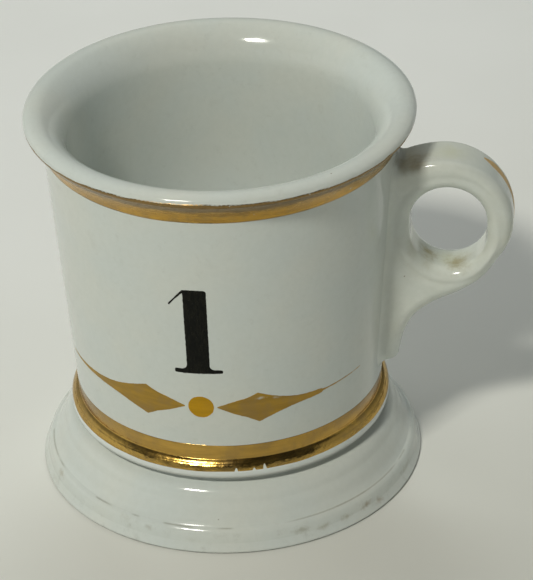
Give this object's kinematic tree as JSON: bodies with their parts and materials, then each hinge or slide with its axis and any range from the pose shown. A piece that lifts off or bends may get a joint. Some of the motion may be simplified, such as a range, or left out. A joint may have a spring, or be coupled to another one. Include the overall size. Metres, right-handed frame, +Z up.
{
  "type": "shaving mug",
  "caption": "Glazed porcelain shaving mug with a flared rim, ring handle, pedestal foot, gilt bands, a gilt leaf ornament and an enamelled numeral on the front.",
  "frame": {"origin": "on the mug's vertical axis, in the plane of the foot's standing ring", "axes": "+Z up along the mug's axis, +X out through the handle, -Y out through the painted front"},
  "size_m": [0.116, 0.0938, 0.096],
  "materials": {
    "glazed_porcelain": "glossy clear glaze over a cool white body",
    "glazed_porcelain_foot": "glossy clear glaze, slightly soiled at the bottom edge, bare biscuit under the standing ring",
    "glazed_porcelain_handle": "glossy clear glaze, with light brown staining under the finger hole",
    "slip_joint": "fired slip under the same clear glaze",
    "burnished_gold": "bright fired gilding with brush streaks and wear at its edges",
    "matt_gold": "satin fired gilding",
    "worn_gold": "thin fired gilding, rubbed dull",
    "black_enamel": "glossy black overglaze enamel"
  },
  "bodies": {
    "root": {"cup_body": "glazed_porcelain", "pedestal_foot": "glazed_porcelain_foot", "foot_slip_joint": "slip_joint", "handle": "glazed_porcelain_handle", "handle_slip_joint": "slip_joint", "rim_gold_band": "burnished_gold", "base_gold_band": "burnished_gold", "ornament_dot": "matt_gold", "ornament_leaf_left": "matt_gold", "ornament_leaf_right": "matt_gold", "handle_gold_line": "worn_gold", "numeral_one": "black_enamel"}
  },
  "joints": []
}
